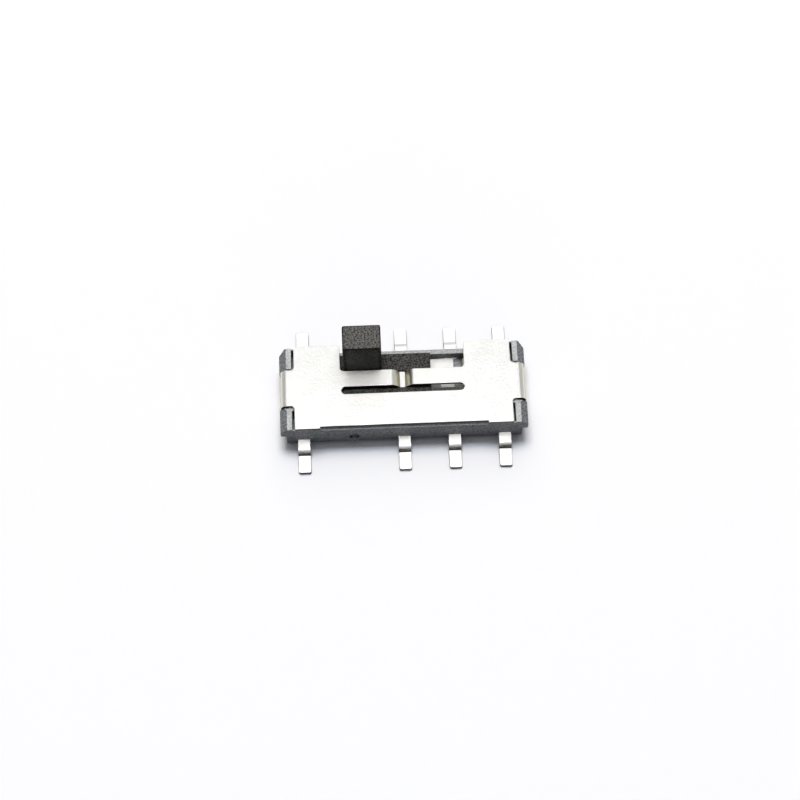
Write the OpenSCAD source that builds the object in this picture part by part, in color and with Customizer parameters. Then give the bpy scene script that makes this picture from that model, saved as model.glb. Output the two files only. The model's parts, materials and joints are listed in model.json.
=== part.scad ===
// Surface mount slide switch: two poles, three positions, upright knob at the rear edge.
// Millimetres. X runs along the switch, +Y points to the knob side, +Z up.
// The origin is the middle of the footprint, on the plane that the solder feet stand on.

/* [Terminals] */
// Spacing of the terminal positions along the switch
pitch = 2; // [1.95:0.05:2.6]
// Width of a terminal lead
lead_w = 0.5; // [0.3:0.05:0.6]
// Thickness of the terminal strip
lead_t = 0.15; // [0.1:0.01:0.2]
// Distance across the front and rear solder feet, tip to tip
lead_span = 6.1; // [5.7:0.1:7.5]
// Flat length of a solder foot
foot_l = 0.68; // [0.4:0.02:0.7]
// Radius of the corners at a foot's tip, seen from above
tip_r = 0.08; // [0.04:0.01:0.12]
// Steepness of the step down from lead to foot, in degrees
step_angle = 75; // [60:1:80]
// Inside radius of the bends in a lead
lead_bend_r = 0.05; // [0.03:0.01:0.08]
// Gap between two throw contacts on the floor
pad_gap = 0.36; // [0.2:0.02:0.5]
// Gap between the common contact and the first throw
common_gap = 0.16; // [0.12:0.02:0.2]
// How far a lead keeps its full width inside the wall
lead_root = 0.04; // [0.02:0.01:0.1]
// Distance of the contacts from the middle line
pad_inner_y = 0.27; // [0.24:0.01:0.4]
// Width of the tongue at the inner end of a throw contact
tongue_w = 0.56; // [0.3:0.02:0.6]
// Length of that tongue
tongue_l = 0.24; // [0.1:0.02:0.3]

/* [Housing] */
// Depth of the housing, front face to rear face
body_w = 3.5; // [3.3:0.1:4.6]
// Height of the cover's top face above the board
body_h = 1.6; // [1.5:0.05:2.4]
// Gap between the board and the underside of the housing
standoff = 0.13; // [0.1:0.01:0.2]
// Thickness of the floor
floor_t = 0.31; // [0.28:0.01:0.33]
// Thickness of the front and rear walls
side_wall = 0.2; // [0.18:0.01:0.26]
// Thickness of the end walls
end_wall = 0.38; // [0.34:0.02:0.5]
// Housing block beyond the outermost terminal position
end_margin = 0.68; // [0.64:0.02:0.9]
// How far a corner ear stands out past the end face
ear_out = 0.22; // [0.21:0.01:0.3]
// Height of a corner ear
ear_h = 0.66; // [0.5:0.02:0.8]
// How far the ears rise past the underside of the cover
ear_rise = 0.07; // [0.03:0.01:0.12]
// Bevel along the top outer edge of an ear
ear_bevel = 0.28; // [0.1:0.01:0.28]
// Bevel on the rear corners, seen from above
corner_bevel = 0.22; // [0.1:0.02:0.3]
// How far the rebate along the top edge of the front wall goes into the wall
rebate_t = 0.1; // [0.05:0.01:0.12]
// Height of that rebate
rebate_h = 0.09; // [0.03:0.01:0.12]
// Plain length of front wall at each end of the rebate
rebate_inset = 1.36; // [1:0.02:2]
// Depth of the slit beside each ear, down from the cover's seat
slit_depth = 0.6; // [0.2:0.05:0.8]
// Wall left in front of and behind those slits
slit_skin = 0.05; // [0.03:0.01:0.1]
// Diameter of the gate mark in the front face
gate_d = 0.42; // [0.16:0.02:0.44]
// Depth of the gate mark
gate_depth = 0.13; // [0.04:0.01:0.14]
// Height of the gate mark above the board
gate_z = 0.58; // [0.44:0.02:0.8]

/* [Cover] */
// Thickness of the cover sheet
sheet_t = 0.15; // [0.12:0.01:0.18]
// Inside radius of the folds at the ends
fold_r = 0.12; // [0.08:0.01:0.16]
// Width of the folded end tabs
tab_w = 1.52; // [1.2:0.02:1.8]
// Straight length that a tab is crimped under the housing
crimp_l = 0.2; // [0.12:0.02:0.22]
// Width of the crimped end of a tab
crimp_w = 0.9; // [0.6:0.05:1.1]
// Corner radius where a tab meets the plate
relief_r = 0.14; // [0.12:0.01:0.16]
// Radius of the notch's inner corners
notch_r = 0.14; // [0.05:0.01:0.2]
// Plate cut away inside the end faces, beside the tabs
corner_cut = 0.37; // [0.3:0.01:0.4]
// Cover standing past the rear face
rear_lip = 0.04; // [0:0.01:0.06]
// Cover kept back from the front face at its two front corners
front_inset = 0; // [0:0.01:0.04]
// How far the front edge is cut back over the rebate in the front wall
front_cut = 0.08; // [0.04:0.01:0.1]

/* [Detent spring] */
// Rear edge of the spring strip, from the middle line
strip_rear_y = 0.66; // [0.6:0.01:0.7]
// Width of the spring strip between notch and slot
strip_w = 0.67; // [0.5:0.01:0.7]
// Width of the slot in front of the strip
slot_w = 0.32; // [0.24:0.01:0.4]
// How far the slot's ends lie inside the notch's ends
slot_inset = 0.03; // [0:0.01:0.1]
// Depth of the detent bump
bump_depth = 0.28; // [0.26:0.01:0.3]
// Slope of the bump's flanks, in degrees
bump_angle = 50; // [40:1:60]
// Flat length at the bottom of the bump
bump_flat = 0.18; // [0.1:0.01:0.24]
// Inside radius of the two bends at the bottom of the bump
bump_r = 0.03; // [0.02:0.01:0.06]
// Radius, on its underside, of the wide bend from the strip into each flank
shoulder_r = 0.14; // [0.06:0.01:0.16]

/* [Slider] */
// Travel from one position to the next
travel = 1.57; // [1.2:0.01:1.6]
// Thickness of the slider plate
plate_t = 0.56; // [0.5:0.02:0.6]
// Length of the knob along the travel
knob_l = 1.54; // [1:0.01:1.6]
// Depth of the knob across the travel
knob_w = 1.05; // [0.7:0.01:1.06]
// Height of the knob's overhang above the underside of the plate
root_lift = 0.21; // [0.12:0.01:0.3]
// Height of the knob above the cover
knob_h = 2; // [1:0.05:3]
// Radius of the knob's upright edges
knob_r = 0.14; // [0.08:0.01:0.2]
// Radius of the knob's top edges
knob_edge_r = 0.08; // [0.03:0.01:0.1]
// Draft on each end face of the knob, over its whole height
knob_draft = 0.015; // [0:0.005:0.05]
// Depth of a detent valley below the ridges of the track
valley_depth = 0.08; // [0.04:0.01:0.1]
// Width of the keel that rides on the floor
keel_w = 0.4; // [0.3:0.02:0.44]

/* [Moving contacts] */
// Thickness of the contact clip
clip_t = 0.08; // [0.06:0.01:0.1]
// Inside radius of the bends in a clip
clip_bend_r = 0.08; // [0.06:0.01:0.1]
// Width of a contact clip
clip_w = 0.6; // [0.4:0.02:0.7]
// Slope of a clip's arms, in degrees, when they reach down by the clip's sag
clip_angle = 15; // [12:1:18]
// How far those arms reach down at that slope. A deeper cavity makes them steeper, not longer.
clip_sag = 0.25; // [0.2:0.01:0.3]
// Turned up length beyond a contact point
clip_tip = 0.09; // [0.06:0.01:0.1]
// Width of the slit that splits each arm in two fingers
slit_w = 0.1; // [0.06:0.02:0.16]
// Diameter of the pegs that carry a clip
peg_d = 0.3; // [0.2:0.02:0.34]
// Diameter of a peg's riveted head
head_d = 0.46; // [0.4:0.02:0.5]
// Height of a peg's riveted head
head_h = 0.07; // [0.04:0.01:0.1]

/* [Clearances] */
// Around what is trapped: the folded tabs and their crimps, and the bump in its valley
seat_gap = 0.03; // [0.02:0.005:0.05]
// Between the cover's edges and the ears
ear_gap = 0.1; // [0.03:0.005:0.11]
// Under the moving contacts and the keel, and over the detent track
run_gap = 0.02; // [0.015:0.005:0.03]
// Between the slider and the front and rear walls
side_gap = 0.12; // [0.08:0.01:0.14]
// Between the slider and the cover, and between the knob's overhang and the sill
top_gap = 0.1; // [0.06:0.01:0.12]
// Left at each end of the travel
stop_gap = 0.02; // [0.01:0.005:0.05]
// Between the knob and the ends of the notch
notch_gap = 0.13; // [0.1:0.01:0.2]
// Between the knob and the spring strip
knob_gap = 0.03; // [0.02:0.005:0.1]

/* [Hidden] */
$fn = 48;
cut = 0.1; // how far a cutting body passes the face that it cuts

// Heights
floor_z = standoff + floor_t;
rim_z = body_h - sheet_t;
ear_z = rim_z + ear_rise;
plate_z = rim_z - top_gap - plate_t;
root_z = plate_z + root_lift;
sill_z = root_z - top_gap;
ridge_z = rim_z - bump_depth - run_gap;
top_z = body_h + knob_h;

// Lengths from the middle
block_x = 2 * pitch + end_margin;
ear_x = block_x + ear_out;
cavity_x = block_x - end_wall;
cover_x = block_x - corner_cut;
fold_x = block_x + seat_gap - fold_r;
slider_x = cavity_x - travel - stop_gap;
notch_x = travel + knob_l / 2 + notch_gap;
slot_x = notch_x - slot_inset;
rebate_x = block_x - rebate_inset;
wall_y = body_w / 2;
cavity_y = wall_y - side_wall;
slider_y = cavity_y - side_gap;
strip_front_y = strip_rear_y - strip_w;
slot_front_y = strip_front_y - slot_w;
cover_front_y = -wall_y + front_inset;
cover_rear_y = wall_y + rear_lip;
cut_back_y = cover_front_y + front_cut;
knob_front_y = strip_rear_y + knob_gap;
knob_mid_y = knob_front_y + knob_w / 2;

// Bump: its flanks and half its length, along the middle of the sheet
bends_r = bump_r + shoulder_r + sheet_t;
flank_l = (bump_depth - bends_r * (1 - cos(bump_angle))) / sin(bump_angle);
bump_x = bump_flat / 2 + bends_r * sin(bump_angle) + flank_l * cos(bump_angle);

// Lead: its step down and where that begins, along the middle of the strip
lead_mid_r = lead_bend_r + lead_t / 2;
lead_drop = floor_z - lead_t;
riser_l = (lead_drop - 2 * lead_mid_r * (1 - cos(step_angle))) / sin(step_angle);
step_y = 2 * lead_mid_r * sin(step_angle) + riser_l * cos(step_angle);
shelf_y = lead_span / 2 - foot_l - step_y;
root_y = cavity_y - lead_root;

// Contacts: a clip's two contact points, from the slider's middle
throw_x = pitch - lead_w;
clip_mid_r = clip_bend_r + clip_t / 2;
clip_drop = plate_z - clip_t - floor_z - run_gap;
clip_slope = atan(tan(clip_angle) * clip_drop / clip_sag);
knee_x = clip_mid_r * sin(clip_slope);
knee_z = clip_mid_r * (1 - cos(clip_slope));
clip_end = knee_x + clip_tip * cos(clip_slope) + clip_t * sin(clip_slope) / 2 + seat_gap;
common_x = -(slider_x - clip_end);
clip_mid_x = (throw_x + common_x) / 2;
clip_y = (pad_inner_y + cavity_y) / 2;
arm_l = (clip_drop - 2 * knee_z) / sin(clip_slope);
clip_flat_x = (throw_x - common_x) / 2 - 2 * knee_x - arm_l * cos(clip_slope);
peg_x = clip_flat_x / 2;
pad_half = (travel - pad_gap) / 2;

// Where each contact on the floor begins and ends along X, and its lead's place
lead_x = [-2 * pitch, 0, pitch, 2 * pitch];
pad_start = [for (k = [0:3]) k == 0 ? lead_x[0] - lead_w / 2 : throw_x + (k - 2) * travel - pad_half];
pad_end = [for (k = [0:3])
    k == 0 ? pad_start[1] - common_gap :
    k == 3 ? lead_x[3] + lead_w / 2 : throw_x + (k - 2) * travel + pad_half];

// Sheet seen edge on, drawn along +X: straight runs joined by bends, each with its turn in
// degrees and its inside radius. A positive turn bends upwards. The path is the sheet's middle.
module folded_sheet(runs, turns, radii, t, i = 0) {
    if (runs[i] > 0) translate([0, -t / 2]) square([runs[i], t]);
    if (i < len(turns)) {
        centre = sign(turns[i]) * (radii[i] + t / 2);
        translate([runs[i], centre]) {
            if (centre > 0) bend_sector(turns[i], t, radii[i]);
            else mirror([0, 1]) bend_sector(-turns[i], t, radii[i]);
            rotate(turns[i]) translate([0, -centre]) folded_sheet(runs, turns, radii, t, i + 1);
        }
    }
}

// Ring sector of one bend, from straight below the centre through the angle a.
module bend_sector(a, t, r) {
    reach = 2 * (r + t);
    intersection() {
        difference() {
            circle(r + t);
            circle(r);
        }
        polygon([[0, 0], [0, -reach], [reach * tan(a / 2), -reach], reach * [sin(a), -cos(a)]]);
    }
}

// Turns a side view, drawn in X and Z, into a solid centred on Y with the width w.
module across(w) {
    rotate([90, 0, 0]) linear_extrude(height = w, center = true) children();
}

// Turns a profile drawn in Y and Z into a solid centred on X with the length l.
module along(l) {
    rotate([90, 0, 90]) linear_extrude(height = l, center = true) children();
}

// Rectangle with four round corners, centred.
module round_rect(l, w, r) {
    square([l - 2 * r, w], center = true);
    square([l, w - 2 * r], center = true);
    for (x = [-1, 1], y = [-1, 1])
        translate([x * (l / 2 - r), y * (w / 2 - r)]) circle(r);
}

// Block given by its two corners.
module block(low, high) {
    translate(low) cube(high - low);
}

// Plan of one contact on the floor, for the rear row. A throw's inner end is a narrower tongue.
module pad_plan(k) {
    l = pad_end[k] - pad_start[k];
    wide_y = k == 0 ? pad_inner_y : pad_inner_y + tongue_l;
    translate([pad_start[k], wide_y]) square([l, cavity_y - wide_y]);
    if (k > 0) translate([pad_end[k] - tongue_w, pad_inner_y]) square([tongue_w, cavity_y - pad_inner_y]);
}

// Plan of a lead, with the corners of its foot's tip rounded.
module lead_plan() {
    tip_y = lead_span / 2;
    translate([-lead_w / 2, 0]) square([lead_w, tip_y - tip_r]);
    translate([-lead_w / 2 + tip_r, 0]) square([lead_w - 2 * tip_r, tip_y]);
    for (s = [-1, 1]) translate([s * (lead_w / 2 - tip_r), tip_y - tip_r]) circle(tip_r);
}

// Terminal of the rear row: contact on the floor, lead through the wall, step and foot.
module terminal(k) {
    color("gainsboro") {
        translate([0, 0, floor_z - lead_t]) linear_extrude(lead_t) pad_plan(k);
        intersection() {
            translate([lead_x[k], root_y, floor_z - lead_t / 2]) along(lead_w)
                folded_sheet([shelf_y - root_y, riser_l, foot_l], [-step_angle, step_angle],
                    [lead_bend_r, lead_bend_r], lead_t);
            translate([lead_x[k], 0, -cut]) linear_extrude(floor_z + 2 * cut) lead_plan();
        }
    }
}

// Space that a terminal of the rear row takes out of the housing.
module terminal_seat(k) {
    translate([0, 0, floor_z - lead_t]) linear_extrude(lead_t) pad_plan(k);
    translate([lead_x[k], root_y, floor_z - lead_t / 2]) along(lead_w)
        translate([0, -lead_t / 2]) square([side_wall + lead_root + cut, lead_t]);
}

// Plan of the housing block with its two bevelled rear corners.
module block_plan(half) {
    polygon([[-half, -wall_y], [half, -wall_y], [half, wall_y - corner_bevel],
        [half - corner_bevel, wall_y], [-half + corner_bevel, wall_y], [-half, wall_y - corner_bevel]]);
}

// The ears at both ends, as one bar with bevelled top edges, cut to the plan of the block.
module ear_bar() {
    intersection() {
        translate([0, 0, ear_z - ear_h]) linear_extrude(ear_h) block_plan(ear_x);
        across(body_w + cut)
            polygon([[-ear_x, ear_z - ear_h], [ear_x, ear_z - ear_h], [ear_x, ear_z - ear_bevel],
                [ear_x - ear_bevel, ear_z], [-ear_x + ear_bevel, ear_z], [-ear_x, ear_z - ear_bevel]]);
    }
}

// Room for the cover's tab at the +X end: its root between the ears, the recess below that,
// the bevelled edge inside the fold and the crimp's pocket.
module tab_recess() {
    translate([0, 0, rim_z]) linear_extrude(ear_rise + cut) tab_root_plan(ear_x + cut, ear_gap);
    block([block_x, -tab_w / 2 - seat_gap, standoff - cut],
        [ear_x + cut, tab_w / 2 + seat_gap, ear_z + cut]);
    across(tab_w + 2 * seat_gap)
        polygon([[block_x - fold_r, rim_z], [block_x + cut, rim_z - fold_r - cut],
            [block_x + cut, rim_z + cut], [block_x - fold_r, rim_z + cut]]);
    block([fold_x - crimp_l - seat_gap, -crimp_w / 2 - seat_gap, standoff - cut],
        [block_x + cut, crimp_w / 2 + seat_gap, standoff + sheet_t + seat_gap]);
    across(crimp_w + 2 * seat_gap)
        polygon([[block_x + cut, standoff + sheet_t + fold_r + cut], [block_x + cut, standoff],
            [block_x - fold_r, standoff], [block_x - fold_r, standoff + sheet_t]]);
}

// Slits beside the two ears at the +X end, open to the cavity, under the gap round the cover.
module ear_slits() {
    for (s = [0, 1]) mirror([0, s, 0])
        block([cavity_x - seat_gap, tab_w / 2 + relief_r, rim_z - slit_depth],
            [cover_x + ear_gap, wall_y - slit_skin, rim_z + cut]);
}

module housing() {
    color("dimgray")
    difference() {
        union() {
            translate([0, 0, standoff]) linear_extrude(rim_z - standoff) block_plan(block_x);
            ear_bar();
        }
        // Seat of the cover plate between the ears, and the rebate under its front edge
        block([-cover_x - ear_gap, -wall_y - cut, rim_z], [cover_x + ear_gap, wall_y + cut, ear_z + cut]);
        block([-rebate_x, -wall_y - cut, rim_z - rebate_h], [rebate_x, -wall_y + rebate_t, ear_z]);
        // Cavity and knob window
        block([-cavity_x, -cavity_y, floor_z], [cavity_x, cavity_y, ear_z + cut]);
        block([-notch_x - seat_gap, 0, sill_z], [notch_x + seat_gap, wall_y + cut, ear_z + cut]);
        for (s = [0, 1]) mirror([s, 0, 0]) {
            tab_recess();
            ear_slits();
        }
        for (k = [0:3], s = [0, 1]) mirror([0, s, 0]) terminal_seat(k);
        // Gate mark at the position that has no lead
        translate([-pitch, -wall_y - cut, gate_z]) rotate([-90, 0, 0])
            cylinder(d = gate_d, h = cut + gate_depth);
    }
}

// Plan of the cover plate, without its tabs.
module plate_plan() {
    difference() {
        union() {
            translate([-cover_x, cut_back_y]) square([2 * cover_x, cover_rear_y - cut_back_y]);
            for (s = [0, 1]) mirror([s, 0]) translate([rebate_x, cover_front_y])
                square([cover_x - rebate_x, wall_y]);
        }
        notch_plan();
        slot_plan();
    }
}

// Notch that the knob travels in, open at the rear, with round inner corners.
module notch_plan() {
    translate([-notch_x, strip_rear_y + notch_r]) square([2 * notch_x, body_w]);
    translate([-notch_x + notch_r, strip_rear_y]) square([2 * (notch_x - notch_r), body_w]);
    for (s = [-1, 1]) translate([s * (notch_x - notch_r), strip_rear_y + notch_r]) circle(notch_r);
}

// Slot with round ends that frees the spring strip.
module slot_plan() {
    translate([0, slot_front_y + slot_w / 2]) {
        square([2 * slot_x - slot_w, slot_w], center = true);
        for (s = [-1, 1]) translate([s * (slot_x - slot_w / 2), 0]) circle(d = slot_w);
    }
}

// End of the plate at +X as far as end_x, with round inner corners beside the tab.
// A gap widens it all round, for the room that it needs in the housing.
module tab_root_plan(end_x, gap) {
    centre = tab_w / 2 + relief_r;
    difference() {
        translate([cover_x - cut, -centre]) square([end_x - cover_x + cut, 2 * centre]);
        for (s = [0, 1]) mirror([0, s]) {
            translate([cover_x + relief_r, centre]) circle(relief_r - gap);
            translate([cover_x + relief_r, tab_w / 2 + gap]) square([end_x, 2 * relief_r]);
        }
    }
}

// Tab at +X: folded down over the end face and crimped under the housing.
module tab() {
    drop = body_h - standoff + seat_gap - sheet_t - 2 * (fold_r + sheet_t / 2);
    translate([0, 0, rim_z]) linear_extrude(sheet_t) tab_root_plan(fold_x, 0);
    intersection() {
        translate([cover_x, 0, rim_z + sheet_t / 2]) across(tab_w)
            folded_sheet([fold_x - cover_x, drop, crimp_l], [-90, -90], [fold_r, fold_r], sheet_t);
        union() {
            block([0, -tab_w, standoff + sheet_t + fold_r], [ear_x + cut, tab_w, body_h + cut]);
            block([0, -crimp_w / 2, 0], [ear_x + cut, crimp_w / 2, body_h]);
        }
    }
}

// Detent bump in the spring strip: two flanks and a flat, bent out of the sheet.
module detent_bump() {
    translate([-bump_x, (strip_rear_y + strip_front_y) / 2, rim_z + sheet_t / 2]) across(strip_w)
        folded_sheet([0, flank_l, bump_flat, flank_l, 0],
            [-bump_angle, bump_angle, bump_angle, -bump_angle],
            [shoulder_r, bump_r, bump_r, shoulder_r], sheet_t);
}

module cover() {
    color("silver") {
        difference() {
            translate([0, 0, rim_z]) linear_extrude(sheet_t) plate_plan();
            block([-bump_x, strip_front_y - slot_w / 2, rim_z - cut],
                [bump_x, strip_rear_y + cut, body_h + cut]);
        }
        detent_bump();
        for (s = [0, 1]) mirror([s, 0, 0]) tab();
    }
}

// Knob seen from one side: it draws in by the draft at each end, and its top corners are round.
module knob_view(l, draft) {
    h = top_z - root_z;
    top = l / 2 - draft;
    polygon([[-l / 2, 0], [l / 2, 0], [top, h - knob_edge_r], [top - knob_edge_r, h],
        [knob_edge_r - top, h], [-top, h - knob_edge_r]]);
    for (s = [-1, 1]) translate([s * (top - knob_edge_r), h - knob_edge_r]) circle(knob_edge_r);
}

// Knob: what its plan, its front view and its side view have in common.
module knob() {
    translate([0, knob_mid_y, root_z]) intersection() {
        linear_extrude(top_z - root_z) round_rect(knob_l, knob_w, knob_r);
        across(knob_w + cut) knob_view(knob_l, knob_draft);
        along(knob_l + cut) knob_view(knob_w, 0);
    }
}

// Track under the spring strip: a channel with a valley for each position.
module detent_track() {
    bottom_x = bump_flat / 2 + seat_gap;
    slope_x = bottom_x + valley_depth / tan(bump_angle);
    track_y = (strip_rear_y + strip_front_y) / 2;
    translate([0, track_y, 0]) across(strip_w + 2 * seat_gap) {
        translate([-slider_x - cut, ridge_z]) square([2 * (slider_x + cut), rim_z]);
        for (k = [-1:1]) translate([k * travel, ridge_z])
            polygon([[-slope_x, cut], [-slope_x, 0], [-bottom_x, -valley_depth],
                [bottom_x, -valley_depth], [slope_x, 0], [slope_x, cut]]);
    }
}

// Peg under the plate, through a hole of its clip, with a domed head riveted over the clip.
module peg() {
    ball_r = (head_h * head_h + head_d * head_d / 4) / (2 * head_h);
    translate([0, 0, -clip_t - run_gap]) cylinder(d = peg_d, h = clip_t + run_gap + cut);
    translate([0, 0, -clip_t]) intersection() {
        translate([0, 0, ball_r - head_h]) sphere(ball_r);
        translate([0, 0, -head_h]) cylinder(d = head_d + cut, h = head_h);
    }
}

// Slider: plate with the detent track, keel under it, knob on it and pegs for the clips.
module slider() {
    color("#4a4743")
    translate([-travel, 0, 0]) {
        difference() {
            union() {
                block([-slider_x, -slider_y, plate_z], [slider_x, slider_y, plate_z + plate_t]);
                block([-slider_x, -keel_w / 2, floor_z + run_gap], [slider_x, keel_w / 2, plate_z + cut]);
            }
            detent_track();
        }
        knob();
        for (s = [-1, 1], p = [-1, 1]) translate([clip_mid_x + p * peg_x, s * clip_y, plate_z]) peg();
    }
}

// Contact clip of the rear pole: a flat with two holes, and at each end an arm of two fingers
// that bend down to the contacts.
module contact_clip() {
    color("goldenrod")
    translate([clip_mid_x - travel, clip_y, 0]) difference() {
        translate([0, 0, plate_z - clip_t / 2]) for (s = [0, 1]) mirror([s, 0, 0])
            across(clip_w)
                folded_sheet([clip_flat_x, arm_l, clip_tip], [-clip_slope, 2 * clip_slope],
                    [clip_bend_r, clip_bend_r], clip_t);
        for (p = [-1, 1]) {
            translate([p * peg_x, 0, floor_z]) cylinder(d = peg_d + 2 * run_gap, h = plate_z);
            translate([p * clip_flat_x, 0, floor_z]) cylinder(d = slit_w, h = plate_z);
        }
        for (s = [0, 1]) mirror([s, 0, 0])
            block([clip_flat_x, -slit_w / 2, floor_z - cut], [slider_x, slit_w / 2, plate_z + cut]);
    }
}

housing();
cover();
slider();
mirror([0, 1, 0]) contact_clip();  // contact_clip_front
contact_clip();  // contact_clip_rear
mirror([0, 1, 0]) terminal(0);  // terminal_front_common
mirror([0, 1, 0]) terminal(1);  // terminal_front_1
mirror([0, 1, 0]) terminal(2);  // terminal_front_2
mirror([0, 1, 0]) terminal(3);  // terminal_front_3
terminal(0);  // terminal_rear_common
terminal(1);  // terminal_rear_1
terminal(2);  // terminal_rear_2
terminal(3);  // terminal_rear_3
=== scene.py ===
"""Looks of a surface mount slide switch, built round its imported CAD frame.

Lengths are metres in the frame's own axes: X runs along the switch, +Y points to the knob side
and +Z up. MM turns a size in millimetres into metres.
"""

import json
import math

import bmesh
import bpy
import numpy as np
from mathutils import Matrix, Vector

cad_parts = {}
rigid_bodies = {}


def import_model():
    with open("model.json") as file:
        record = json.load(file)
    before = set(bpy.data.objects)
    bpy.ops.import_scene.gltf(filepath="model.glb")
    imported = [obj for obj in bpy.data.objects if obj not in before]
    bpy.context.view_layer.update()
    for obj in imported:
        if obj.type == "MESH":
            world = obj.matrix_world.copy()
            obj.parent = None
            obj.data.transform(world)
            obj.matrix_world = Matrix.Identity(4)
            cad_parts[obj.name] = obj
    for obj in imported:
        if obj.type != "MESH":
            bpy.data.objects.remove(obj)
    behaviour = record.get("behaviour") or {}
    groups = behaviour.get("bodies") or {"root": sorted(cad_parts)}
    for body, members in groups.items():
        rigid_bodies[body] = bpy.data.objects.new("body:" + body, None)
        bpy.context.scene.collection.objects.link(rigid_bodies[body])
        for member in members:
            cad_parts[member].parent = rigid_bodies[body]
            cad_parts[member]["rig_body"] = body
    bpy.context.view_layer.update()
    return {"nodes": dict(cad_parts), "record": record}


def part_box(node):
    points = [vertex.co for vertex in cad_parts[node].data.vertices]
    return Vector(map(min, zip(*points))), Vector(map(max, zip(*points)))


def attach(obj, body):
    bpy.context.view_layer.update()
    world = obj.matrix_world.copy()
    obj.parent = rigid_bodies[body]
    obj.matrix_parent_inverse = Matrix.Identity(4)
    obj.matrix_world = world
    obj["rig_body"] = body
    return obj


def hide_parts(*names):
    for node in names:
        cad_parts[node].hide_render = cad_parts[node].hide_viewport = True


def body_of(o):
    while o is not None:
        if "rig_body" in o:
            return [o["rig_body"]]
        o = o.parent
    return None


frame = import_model()

MM = 0.001


# ---------------------------------------------------------------- node graphs

def node(tree, kind, inputs=None, **options):
    """Adds one node, sets its options, and fills its inputs by name with numbers or links."""
    made = tree.nodes.new(kind)
    for option, value in options.items():
        setattr(made, option, value)
    for name, value in (inputs or {}).items():
        if isinstance(value, bpy.types.NodeSocket):
            tree.links.new(value, made.inputs[name])
        else:
            made.inputs[name].default_value = value
    return made


def bare_tree(block):
    """Empty node tree of a material or world."""
    block.use_nodes = True
    block.node_tree.nodes.clear()
    return block.node_tree


def millimetres(tree):
    """Object coordinates in millimetres, so that a pattern's scale is features per millimetre."""
    place = node(tree, "ShaderNodeTexCoord")
    scaled = node(tree, "ShaderNodeMapping",
                  {"Vector": place.outputs["Object"], "Scale": (1 / MM, 1 / MM, 1 / MM)})
    return scaled.outputs["Vector"]


def along(tree, place, axis):
    """One coordinate of a place, in the place's own unit."""
    split = node(tree, "ShaderNodeSeparateXYZ", {"Vector": place})
    return split.outputs[axis]


def noise(tree, place, scale, detail=2.0, roughness=0.5, stretch=(1.0, 1.0, 1.0)):
    """Fractal noise from 0 to 1 with scale features per millimetre, drawn out by stretch."""
    drawn = node(tree, "ShaderNodeVectorMath", {0: place, 1: stretch}, operation="MULTIPLY")
    field = node(tree, "ShaderNodeTexNoise", {"Vector": drawn.outputs[0], "Scale": scale,
                                              "Detail": detail, "Roughness": roughness})
    return field.outputs["Fac"]


def spread(tree, value, low, high, to_low=0.0, to_high=1.0):
    """Maps value from low..high to to_low..to_high, and holds it at the ends."""
    ranged = node(tree, "ShaderNodeMapRange", {"Value": value, "From Min": low, "From Max": high,
                                               "To Min": to_low, "To Max": to_high})
    return ranged.outputs["Result"]


def calculated(tree, operation, first, second):
    """Result of one operation on two values."""
    made = node(tree, "ShaderNodeMath", {0: first, 1: second}, operation=operation)
    return made.outputs[0]


def blended(tree, share, first, second):
    """Colour that goes from first to second as share goes from 0 to 1."""
    mix = node(tree, "ShaderNodeMix", {"Factor": share}, data_type="RGBA")
    for socket, colour in ((mix.inputs[6], first), (mix.inputs[7], second)):
        if isinstance(colour, bpy.types.NodeSocket):
            tree.links.new(colour, socket)
        else:
            socket.default_value = (*colour, 1.0)
    return mix.outputs[2]


def facing(tree, side=(0.0, 0.0, 1.0)):
    """How squarely the surface faces a side: 1 face on, 0 edge on or turned away."""
    true = node(tree, "ShaderNodeNewGeometry")
    share = node(tree, "ShaderNodeVectorMath", {0: true.outputs["Normal"], 1: side},
                 operation="DOT_PRODUCT")
    return spread(tree, share.outputs["Value"], 0.0, 1.0)


def edge_highlight_share(tree, radius):
    """1 along outer edges and 0 on open faces: how far a rounded normal leans off the true one."""
    rounded = node(tree, "ShaderNodeBevel", {"Radius": radius}, samples=6)
    true = node(tree, "ShaderNodeNewGeometry")
    agree = node(tree, "ShaderNodeVectorMath",
                 {0: rounded.outputs["Normal"], 1: true.outputs["Normal"]}, operation="DOT_PRODUCT")
    return spread(tree, agree.outputs["Value"], low=0.995, high=0.85)


def relief(tree, raised, size):
    """Normal of a surface raised by raised times size metres."""
    bump = node(tree, "ShaderNodeBump", {"Height": raised, "Distance": size, "Strength": 1.0})
    return bump.outputs["Normal"]


def surface(name, fill):
    """New material whose one shader gets the inputs that fill(tree, place) returns."""
    made = bpy.data.materials.new(name)
    tree = bare_tree(made)
    shader = node(tree, "ShaderNodeBsdfPrincipled", fill(tree, millimetres(tree)))
    node(tree, "ShaderNodeOutputMaterial", {"Surface": shader.outputs["BSDF"]})
    return made


# ------------------------------------------------------------------- finishes
# Scales of patterns are features per millimetre, and heights are millimetres above the board.

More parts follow.
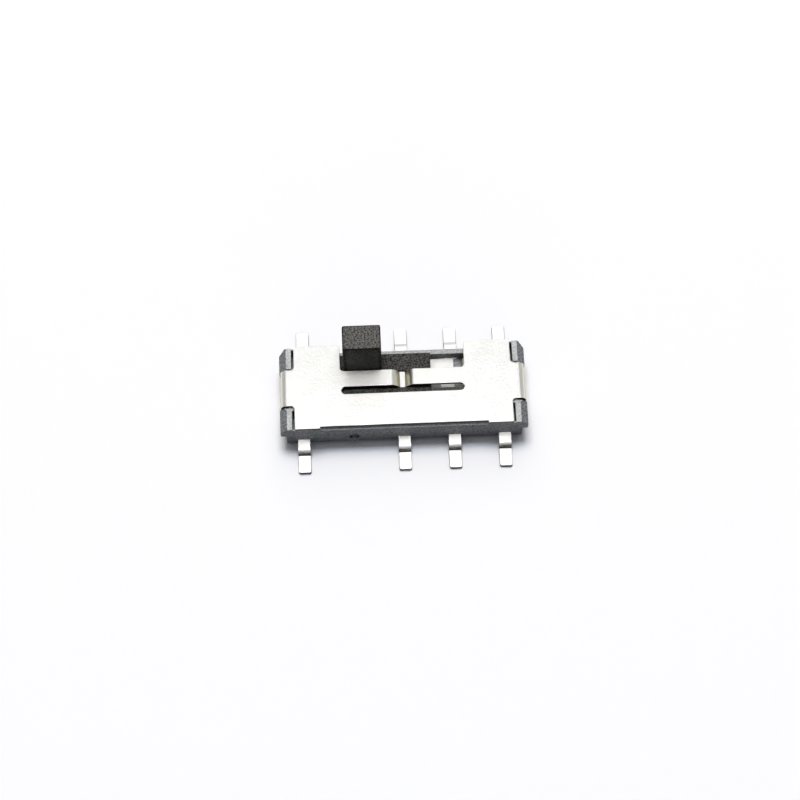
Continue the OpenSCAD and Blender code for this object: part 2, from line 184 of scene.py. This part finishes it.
def moulded(dark, light, top_light_tone, edge_highlight_tone, rub_from, rub_to, hollows, gloss):
    """Matt moulded plastic: a spark eroded grain in two tones, with painted light on faces that
    look up.

    The grain turns to its dark tone near the board, as painted shade. Faces that look up are
    painted paler, as painted light, more and more from the first to the second given height, and
    the hollows of the grain only by the share hollows. Outer edges get a painted highlight.
    """
    grain_relief = 0.009 * MM
    edge_radius = 0.035 * MM

    def fill(tree, place):
        height = along(tree, place, "Z")
        grain = noise(tree, place, scale=15.0, detail=3.0, roughness=0.7)
        flow = noise(tree, place, scale=1.7)
        skin = blended(tree, spread(tree, grain, 0.42, 0.6), dark, light)
        # Painted shade: the grain is darker towards the board.
        clear = spread(tree, height, 0.2, 0.9, to_low=0.4)
        skin = blended(tree, clear, dark, skin)
        # Painted light: faces that look up are painted paler, more so higher up and on the raised
        # grain.
        reach = spread(tree, height, rub_from, rub_to)
        top = calculated(tree, "MULTIPLY", spread(tree, facing(tree), 0.88, 1.0), reach)
        raised = spread(tree, grain, 0.43, 0.57, to_low=hollows)
        patchy = calculated(tree, "MULTIPLY", top, raised)
        top_lit = blended(tree, patchy, skin, top_light_tone)
        # Painted highlight along outer edges, broken up by the grain.
        broken = spread(tree, grain, 0.3, 0.7, to_low=0.1, to_high=0.6)
        edge = calculated(tree, "MULTIPLY", edge_highlight_share(tree, edge_radius), broken)
        return {"Base Color": blended(tree, edge, top_lit, edge_highlight_tone),
                "Roughness": spread(tree, flow, 0.3, 0.7, to_low=0.46, to_high=0.62),
                "Specular IOR Level": gloss,
                "Normal": relief(tree, grain, grain_relief)}
    return fill


def tinned(dull, bright, side_shade_tone, side_half_shade_tone, roughness, metallic):
    """Plated strip: frosted flats, and painted shade in patches on faces that do not look up,
    darkest low down near the foot."""
    frost_relief = 0.0012 * MM

    def fill(tree, place):
        frost = noise(tree, place, scale=22.0, detail=3.0, roughness=0.6)
        cloud = noise(tree, place, scale=3.0, detail=3.0, roughness=0.6)
        flat = blended(tree, spread(tree, cloud, 0.35, 0.65), dull, bright)
        marks = noise(tree, place, scale=14.0, detail=3.0, roughness=0.7, stretch=(0.35, 1.0, 1.0))
        # Painted shade on faces that do not look up: dark and half dark patches, all dark below 0.2
        # mm.
        half_shade_patches = spread(tree, marks, 0.35, 0.65)
        above_low_shade = spread(tree, along(tree, place, "Z"), 0.2, 0.42)
        shaded_slopes = blended(tree, calculated(tree, "MULTIPLY", half_shade_patches, above_low_shade), side_shade_tone, side_half_shade_tone)
        level = spread(tree, facing(tree), 0.5, 0.85)
        return {"Base Color": blended(tree, level, shaded_slopes, flat),
                "Metallic": metallic,
                "Roughness": spread(tree, cloud, 0.3, 0.7, roughness - 0.05, roughness + 0.06),
                "Normal": relief(tree, frost, frost_relief)}
    return fill


def rolled_sheet(dull, bright, slope_shade_tone, deep_slope_shade_tone, edge_shade_tone):
    """Bright plated sheet: a fine ripple, rolling lines along X, a warmer painted shade on faces
    that do not look up, a darker painted shade on those below the cover's top, and a near black
    painted shade on front and rear edges."""
    ripple_relief = 0.007 * MM

    def fill(tree, place):
        ripple = noise(tree, place, scale=12.0, detail=3.0, roughness=0.6)
        lines = noise(tree, place, scale=26.0, stretch=(0.12, 1.0, 1.0))
        stain = noise(tree, place, scale=1.3, detail=3.0, roughness=0.6)
        flat = blended(tree, spread(tree, stain, 0.35, 0.65), dull, bright)
        # Painted shade on faces that do not look up, darker below 1.5 mm.
        deep_shade_share = spread(tree, along(tree, place, "Z"), 1.5, 1.38)
        shaded_slopes = blended(tree, deep_shade_share, slope_shade_tone, deep_slope_shade_tone)
        level = spread(tree, facing(tree), 0.75, 0.97)
        # Painted shade: front and rear edges are near black.
        front = facing(tree, (0.0, -1.0, 0.0))
        rear = facing(tree, (0.0, 1.0, 0.0))
        edge = spread(tree, calculated(tree, "MAXIMUM", front, rear), 0.6, 0.95)
        return {"Base Color": blended(tree, edge, blended(tree, level, shaded_slopes, flat), edge_shade_tone),
                "Metallic": 1.0,
                "Roughness": spread(tree, lines, 0.3, 0.7, to_low=0.29, to_high=0.37),
                "Normal": relief(tree, ripple, ripple_relief)}
    return fill


# Tones for top light, edge highlights and shade are painted light and shade, not the material's own
# colour.
FINISHES = {
    "moulded_base": moulded(dark=(0.1, 0.105, 0.108), light=(0.32, 0.333, 0.332),
                            top_light_tone=(0.66, 0.68, 0.655), edge_highlight_tone=(0.33, 0.345, 0.335),
                            rub_from=-0.2, rub_to=1.4, hollows=0.65, gloss=0.35),
    "slider_moulding": moulded(dark=(0.003, 0.003, 0.002), light=(0.029, 0.028, 0.026),
                               top_light_tone=(0.19, 0.186, 0.17), edge_highlight_tone=(0.12, 0.118, 0.108),
                               rub_from=-0.4, rub_to=3.5, hollows=0.2, gloss=0.06),
    "cover_sheet": rolled_sheet(dull=(0.84, 0.83, 0.8), bright=(0.88, 0.875, 0.85),
                                slope_shade_tone=(0.84, 0.82, 0.69), deep_slope_shade_tone=(0.46, 0.43, 0.35),
                                edge_shade_tone=(0.04, 0.039, 0.036)),
    "terminal": tinned(dull=(0.9, 0.895, 0.87), bright=(0.95, 0.95, 0.93),
                       side_shade_tone=(0.035, 0.032, 0.027), side_half_shade_tone=(0.56, 0.51, 0.44),
                       roughness=0.46, metallic=0.8),
    "contact_spring": tinned(dull=(0.66, 0.46, 0.24), bright=(0.78, 0.58, 0.32),
                             side_shade_tone=(0.4, 0.24, 0.1), side_half_shade_tone=(0.5, 0.3, 0.13),
                             roughness=0.3, metallic=1.0),
}
materials = {slot: surface(slot, fill) for slot, fill in FINISHES.items()}
slot_of = {part["node"]: part["material_slot"] for part in frame["record"]["subparts"]}


# --------------------------------------------------------------------- pieces

# An edge sharper than this is rolled over; a smoother one is part of a round.
SHARP_TURN = math.radians(38)
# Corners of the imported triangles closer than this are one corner.
SAME_CORNER = 0.0005 * MM
# Triangles that lean less than this to each other are one flat face.
SAME_FACE = math.radians(0.5)
# How far the edges are rolled over: mould radii on plastic, the roll of cut edges on metal.
EDGE_ROLL = {
    "moulded_base": 0.016 * MM,
    "slider_moulding": 0.018 * MM,
    "cover_sheet": 0.012 * MM,
    "terminal": 0.018 * MM,
    "contact_spring": 0.006 * MM,
}


def softened(name, width):
    """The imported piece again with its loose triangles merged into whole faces, and every edge
    sharper than SHARP_TURN rolled over by width."""
    source = frame["nodes"][name]
    mesh = source.data.copy()
    shape = bmesh.new()
    shape.from_mesh(mesh)
    bmesh.ops.remove_doubles(shape, verts=shape.verts, dist=SAME_CORNER)
    bmesh.ops.dissolve_limit(shape, angle_limit=SAME_FACE, verts=shape.verts, edges=shape.edges)
    shape.to_mesh(mesh)
    shape.free()
    mesh.shade_smooth()
    mesh.set_sharp_from_angle(angle=SHARP_TURN)
    made = bpy.data.objects.new(name + "_piece", mesh)
    bpy.context.scene.collection.objects.link(made)
    roll = made.modifiers.new("rolled_edges", "BEVEL")
    roll.width = width
    roll.segments = 2
    roll.limit_method = "ANGLE"
    roll.angle_limit = SHARP_TURN
    roll.harden_normals = True
    mesh.materials.clear()
    mesh.materials.append(materials[slot_of[name]])
    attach(made, body_of(source)[0])
    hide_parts(name)


for name in frame["nodes"]:
    softened(name, EDGE_ROLL[slot_of[name]])


# Axis of the torn stub, which runs a little below the middle of the gate's recess
STUB_X = -2.0 * MM
STUB_Z = 0.51 * MM
# Depth of the gate's recess in the front face
RECESS_DEPTH = 0.13 * MM
# The stub's outline from root to tip: how thick it is and how far it stands off the recess
STUB_RADII = np.array([0.12, 0.115, 0.1, 0.095, 0.088, 0.06, 0.03]) * MM
STUB_STANDS = np.array([-0.01, 0.01, 0.05, 0.13, 0.23, 0.25, 0.24]) * MM
# The torn end is all that stands off more than this, and it is tilted by this much
TORN_FROM = 0.2 * MM
TORN_TILT = 0.03 * MM


def grid_faces(rows, columns):
    """Quads between neighbouring rows of a grid whose columns close into a ring."""
    row, column = np.meshgrid(np.arange(rows - 1), np.arange(columns), indexing="ij")
    after = (column + 1) % columns
    quads = np.stack([row * columns + column, row * columns + after,
                      (row + 1) * columns + after, (row + 1) * columns + column], axis=-1)
    return quads.reshape(-1, 4)


def gate_stub():
    """Torn stub of the moulding gate, standing on the bottom of its round recess.

    A point lies at the radius r(s) times w(t) from the stub's axis and stands off the recess by
    h(s), with s from the root to the tip and t the angle round the axis. The outline w(t) is
    1 + 0.12 sin(3 t + 1) + 0.07 sin(5 t). The torn end stands off less by TORN_TILT sin(t).
    """
    angle = np.linspace(0, 2 * np.pi, 20, endpoint=False)
    outline = 1 + 0.12 * np.sin(3 * angle + 1) + 0.07 * np.sin(5 * angle)
    reach = STUB_RADII[:, None] * outline
    torn = STUB_STANDS[:, None] > TORN_FROM
    stands = STUB_STANDS[:, None] - TORN_TILT * np.sin(angle) * torn
    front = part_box("housing")[0][1]
    x = STUB_X + reach * np.cos(angle)
    y = front + RECESS_DEPTH - stands
    z = STUB_Z + reach * np.sin(angle)
    points = np.stack([x, y, z], axis=-1).reshape(-1, 3)
    faces = grid_faces(len(STUB_RADII), len(angle)).tolist()
    root = list(range(len(angle)))
    tip = [(len(STUB_RADII) - 1) * len(angle) + k for k in root]
    mesh = bpy.data.meshes.new("gate_stub")
    mesh.from_pydata(points.tolist(), [], faces + [root[::-1], tip])
    mesh.shade_smooth()
    mesh.materials.append(materials["moulded_base"])
    made = bpy.data.objects.new("gate_stub", mesh)
    bpy.context.scene.collection.objects.link(made)
    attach(made, "base")


gate_stub()


# ---------------------------------------------------------------------- stage

WHITE = (1.0, 1.0, 1.0)
# The floor as the camera and shiny surfaces see it, and as it lights matt ones
FLOOR_SEEN = (1.09, 1.09, 1.09)
FLOOR_BOUNCE = (0.27, 0.28, 0.3)
FLOOR_HALF = 1.5
# Even fill light from all round
FILL_LIGHT = (0.096, 0.104, 0.12)
# Ring of card round the table, shaded from its left to its right side
RING_RADIUS = 1.45
RING_HEIGHTS = (0.02, 1.4)
RING_CORNERS = 48
RING_LEFT = (0.36, 0.37, 0.38)
RING_RIGHT = (0.4, 0.41, 0.42)
RING_SHADED_TO = 1.3


def floor_material():
    """Pale floor. Camera and shiny surfaces see it near white, and it bounces a softer light."""
    made = bpy.data.materials.new("floor")
    tree = bare_tree(made)
    path = node(tree, "ShaderNodeLightPath")
    seen = calculated(tree, "MAXIMUM", path.outputs["Is Camera Ray"], path.outputs["Is Glossy Ray"])
    colour = blended(tree, seen, FLOOR_BOUNCE, FLOOR_SEEN)
    matt = node(tree, "ShaderNodeBsdfDiffuse", {"Color": colour})
    node(tree, "ShaderNodeOutputMaterial", {"Surface": matt.outputs["BSDF"]})
    return made


def floor():
    """Flat square under the feet, wide enough to fill every view."""
    corners = [(-1, -1), (1, -1), (1, 1), (-1, 1)]
    points = [(x * FLOOR_HALF, y * FLOOR_HALF, 0) for x, y in corners]
    mesh = bpy.data.meshes.new("floor")
    mesh.from_pydata(points, [], [(0, 1, 2, 3)])
    made = bpy.data.objects.new("floor", mesh)
    bpy.context.scene.collection.objects.link(made)
    mesh.materials.append(floor_material())


def ring_material():
    """Glowing card, shaded along X from RING_LEFT to RING_RIGHT."""
    made = bpy.data.materials.new("horizon")
    tree = bare_tree(made)
    end = RING_SHADED_TO / MM
    across = spread(tree, along(tree, millimetres(tree), "X"), -end, end)
    glow = node(tree, "ShaderNodeEmission",
                {"Color": blended(tree, across, RING_LEFT, RING_RIGHT), "Strength": 1.0})
    node(tree, "ShaderNodeOutputMaterial", {"Surface": glow.outputs["Emission"]})
    return made


def horizon():
    """Ring of card round the table, seen only in shiny surfaces: a strip carried once round a
    circle."""
    turns = np.linspace(0, 2 * np.pi, RING_CORNERS, endpoint=False)
    circle = np.stack([np.cos(turns), np.sin(turns)], axis=1) * RING_RADIUS
    points = np.concatenate([np.column_stack([circle, np.full(RING_CORNERS, height)])
                             for height in RING_HEIGHTS])
    here = np.arange(RING_CORNERS)
    there = np.roll(here, -1)
    faces = np.column_stack([here, here + RING_CORNERS, there + RING_CORNERS, there])
    mesh = bpy.data.meshes.new("horizon")
    mesh.from_pydata(points.tolist(), [], faces.tolist())
    mesh.materials.append(ring_material())
    made = bpy.data.objects.new("horizon", mesh)
    bpy.context.scene.collection.objects.link(made)
    made.visible_camera = False
    made.visible_diffuse = False
    made.visible_shadow = False


def world():
    """Even fill from all round. The camera itself sees plain white past the floor."""
    made = bpy.data.worlds.new("studio")
    bpy.context.scene.world = made
    tree = bare_tree(made)
    path = node(tree, "ShaderNodeLightPath")
    colour = blended(tree, path.outputs["Is Camera Ray"], FILL_LIGHT, WHITE)
    sky = node(tree, "ShaderNodeBackground", {"Color": colour, "Strength": 1.0})
    node(tree, "ShaderNodeOutputWorld", {"Surface": sky.outputs["Background"]})


# --------------------------------------------------------------- lamps, camera

def direction(azimuth, elevation):
    """Unit vector from the switch at that azimuth and elevation. Azimuth 0 is the front."""
    a = math.radians(azimuth)
    e = math.radians(elevation)
    return np.array([math.sin(a) * math.cos(e), -math.cos(a) * math.cos(e), math.sin(e)])


def aimed(made, spot, back, roll=0.0):
    """Puts a lamp or camera at spot, looking along -back, with its top edge towards +Z but for
    the roll in degrees."""
    right = np.cross((0, 0, 1), back)
    right /= np.linalg.norm(right)
    up = np.cross(back, right)
    r = math.radians(roll)
    turned = np.eye(4)
    turned[:3, 0] = right * math.cos(r) + up * math.sin(r)
    turned[:3, 1] = up * math.cos(r) - right * math.sin(r)
    turned[:3, 2] = back
    turned[:3, 3] = spot
    made.matrix_world = Matrix(turned.tolist())


def soft_light(name, azimuth, elevation, distance, size, radiance, colour, seen_in_gloss=True,
               lights_matt=True):
    """Soft box of that width and height, aimed at the switch. Its power is pi times its area
    times the radiance wanted of its face."""
    width, tall = size
    lamp = bpy.data.lights.new(name, "AREA")
    lamp.shape = "RECTANGLE"
    lamp.size = width
    lamp.size_y = tall
    lamp.energy = math.pi * width * tall * radiance
    lamp.color = colour
    made = bpy.data.objects.new(name, lamp)
    bpy.context.scene.collection.objects.link(made)
    made.visible_glossy = seen_in_gloss
    made.visible_diffuse = lights_matt
    back = direction(azimuth, elevation)
    aimed(made, back * distance, back)


def lamps():
    """Lamps for matt surfaces, which shiny ones don't see, and cards that only shiny ones see."""
    soft_light("soft_sky", azimuth=180, elevation=58, distance=1.2, size=(1.2, 1.5),
               radiance=0.96, colour=(1.02, 0.98, 0.95), seen_in_gloss=False)
    soft_light("cool_key", azimuth=184, elevation=76.2, distance=1.0, size=(0.4, 0.18),
               radiance=17.6, colour=(0.92, 0.98, 1.1), seen_in_gloss=False)
    soft_light("warm_key", azimuth=184, elevation=67.6, distance=1.0, size=(0.4, 0.18),
               radiance=10.0, colour=(1.09, 0.98, 0.84), seen_in_gloss=False)
    soft_light("front_card", azimuth=0, elevation=8, distance=1.3, size=(1.2, 0.3),
               radiance=1.3, colour=(0.98, 1.0, 1.02), seen_in_gloss=False)
    soft_light("overhead", azimuth=180, elevation=58, distance=1.1, size=(1.1, 1.38),
               radiance=0.61, colour=(0.99, 0.995, 1.0), lights_matt=False)
    soft_light("zenith_card", azimuth=0, elevation=87, distance=1.2, size=(0.7, 0.5),
               radiance=6.5, colour=(1.0, 0.99, 0.97), lights_matt=False)
    soft_light("left_card", azimuth=-97, elevation=32, distance=1.3, size=(1.0, 1.0),
               radiance=0.22, colour=(0.97, 0.99, 1.0), lights_matt=False)
    soft_light("right_card", azimuth=97, elevation=32, distance=1.3, size=(1.0, 1.0),
               radiance=0.27, colour=(0.97, 0.99, 1.0), lights_matt=False)


CAMERA_AZIMUTH = -2.117
CAMERA_ELEVATION = 67.887
CAMERA_ROLL = -0.163
CAMERA_DISTANCE = 79.55 * MM
# The point that the camera looks at, near the middle of the housing
LOOKED_AT = np.array([-0.126, -0.347, 0.8]) * MM
FOCAL_LENGTH_MM = 89.67
SENSOR_WIDTH_MM = 36.0


def camera():
    """Camera high over the front side, turned a little to the left of the middle."""
    lens = bpy.data.cameras.new("camera")
    lens.lens = FOCAL_LENGTH_MM
    lens.sensor_width = SENSOR_WIDTH_MM
    lens.clip_start = 1 * MM
    lens.clip_end = 10.0
    made = bpy.data.objects.new("camera", lens)
    bpy.context.scene.collection.objects.link(made)
    bpy.context.scene.camera = made
    back = direction(CAMERA_AZIMUTH, CAMERA_ELEVATION)
    aimed(made, LOOKED_AT + back * CAMERA_DISTANCE, back, CAMERA_ROLL)


floor()
horizon()
world()
lamps()
camera()
bpy.context.scene.view_settings.view_transform = "Standard"
